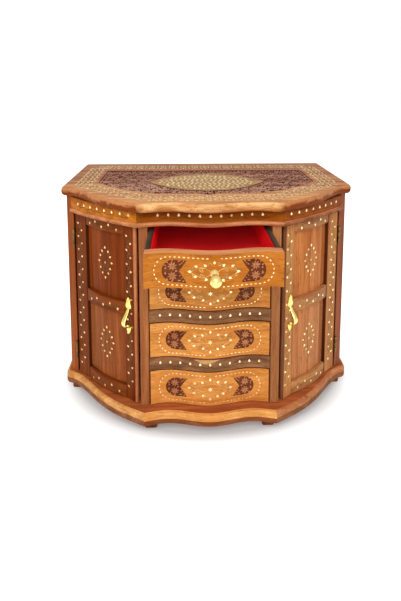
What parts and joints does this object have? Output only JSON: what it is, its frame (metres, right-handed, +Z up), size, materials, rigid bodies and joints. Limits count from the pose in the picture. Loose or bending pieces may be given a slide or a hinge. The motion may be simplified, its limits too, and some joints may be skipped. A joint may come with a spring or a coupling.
{
  "type": "inlaid cabinet",
  "caption": "Table-top wooden cabinet with a serpentine bank of sliding drawers between bow-fronted hinged doors, brass inlay and velvet-lined drawers.",
  "frame": {"origin": "on the floor, below the middle of the bounding box with the top drawer pulled out as pictured", "axes": "+X to the cabinet's right as seen from its front, +Y towards its back, +Z up"},
  "size_m": [0.34, 0.3078, 0.254],
  "materials": {
    "top_wood": "worn wax",
    "body_wood": "satin",
    "door_wood": "satin",
    "base_wood": "satin",
    "front_wood": "satin",
    "rail_wood": "satin",
    "pale_wood": "bare",
    "brass": "aged polish",
    "velvet": "velvet pile"
  },
  "bodies": {
    "carcass": {"top_board": "top_wood", "cornice_board": "body_wood", "base_board": "base_wood", "back_panel": "body_wood", "side_panel_left": "body_wood", "partition_left": "body_wood", "side_panel_right": "body_wood", "partition_right": "body_wood", "frieze_front": "rail_wood", "frieze_left": "rail_wood", "frieze_right": "rail_wood", "rail_1": "rail_wood", "divider_1": "pale_wood", "rail_2": "rail_wood", "divider_2": "pale_wood", "rail_3": "rail_wood", "divider_3": "pale_wood", "foot_front_left": "body_wood", "foot_front_right": "body_wood", "foot_side_left": "body_wood", "foot_side_right": "body_wood", "foot_back_left": "body_wood", "foot_back_right": "body_wood", "hinge_frame_leaf_upper_left": "brass", "hinge_frame_leaf_upper_right": "brass", "hinge_frame_leaf_lower_left": "brass", "hinge_frame_leaf_lower_right": "brass"},
    "door_left": {"door_left_hinge_stile": "door_wood", "door_left_lock_stile": "door_wood", "door_left_top_rail": "door_wood", "door_left_middle_rail": "door_wood", "door_left_bottom_rail": "door_wood", "door_left_upper_panel": "door_wood", "door_left_lower_panel": "door_wood", "door_left_handle": "brass", "door_left_leaf_upper": "brass", "door_left_leaf_lower": "brass"},
    "door_right": {"door_right_hinge_stile": "door_wood", "door_right_lock_stile": "door_wood", "door_right_top_rail": "door_wood", "door_right_middle_rail": "door_wood", "door_right_bottom_rail": "door_wood", "door_right_upper_panel": "door_wood", "door_right_lower_panel": "door_wood", "door_right_handle": "brass", "door_right_leaf_upper": "brass", "door_right_leaf_lower": "brass"},
    "drawer_1": {"drawer_1_front": "front_wood", "drawer_1_box": "pale_wood", "drawer_1_lining": "velvet", "drawer_1_knob": "brass"},
    "drawer_2": {"drawer_2_front": "front_wood", "drawer_2_box": "pale_wood", "drawer_2_lining": "velvet"},
    "drawer_3": {"drawer_3_front": "front_wood", "drawer_3_box": "pale_wood", "drawer_3_lining": "velvet"},
    "drawer_4": {"drawer_4_front": "front_wood", "drawer_4_box": "pale_wood", "drawer_4_lining": "velvet"}
  },
  "joints": [
    {"name": "door_left_hinge", "type": "hinge", "parent": "carcass", "child": "door_left", "pos_m": [-0.15509, 0.00123, 0.127], "axis": [0, 0, -1], "range_deg": [0, 135]},
    {"name": "door_right_hinge", "type": "hinge", "parent": "carcass", "child": "door_right", "pos_m": [0.15509, 0.00123, 0.127], "axis": [0, 0, 1], "range_deg": [0, 135]},
    {"name": "drawer_1_slide", "type": "slide", "parent": "carcass", "child": "drawer_1", "axis": [0, -1, 0], "range_m": [-0.067, 0.05]},
    {"name": "drawer_2_slide", "type": "slide", "parent": "carcass", "child": "drawer_2", "axis": [0, -1, 0], "range_m": [0, 0.117]},
    {"name": "drawer_3_slide", "type": "slide", "parent": "carcass", "child": "drawer_3", "axis": [0, -1, 0], "range_m": [0, 0.117]},
    {"name": "drawer_4_slide", "type": "slide", "parent": "carcass", "child": "drawer_4", "axis": [0, -1, 0], "range_m": [0, 0.117]}
  ]
}
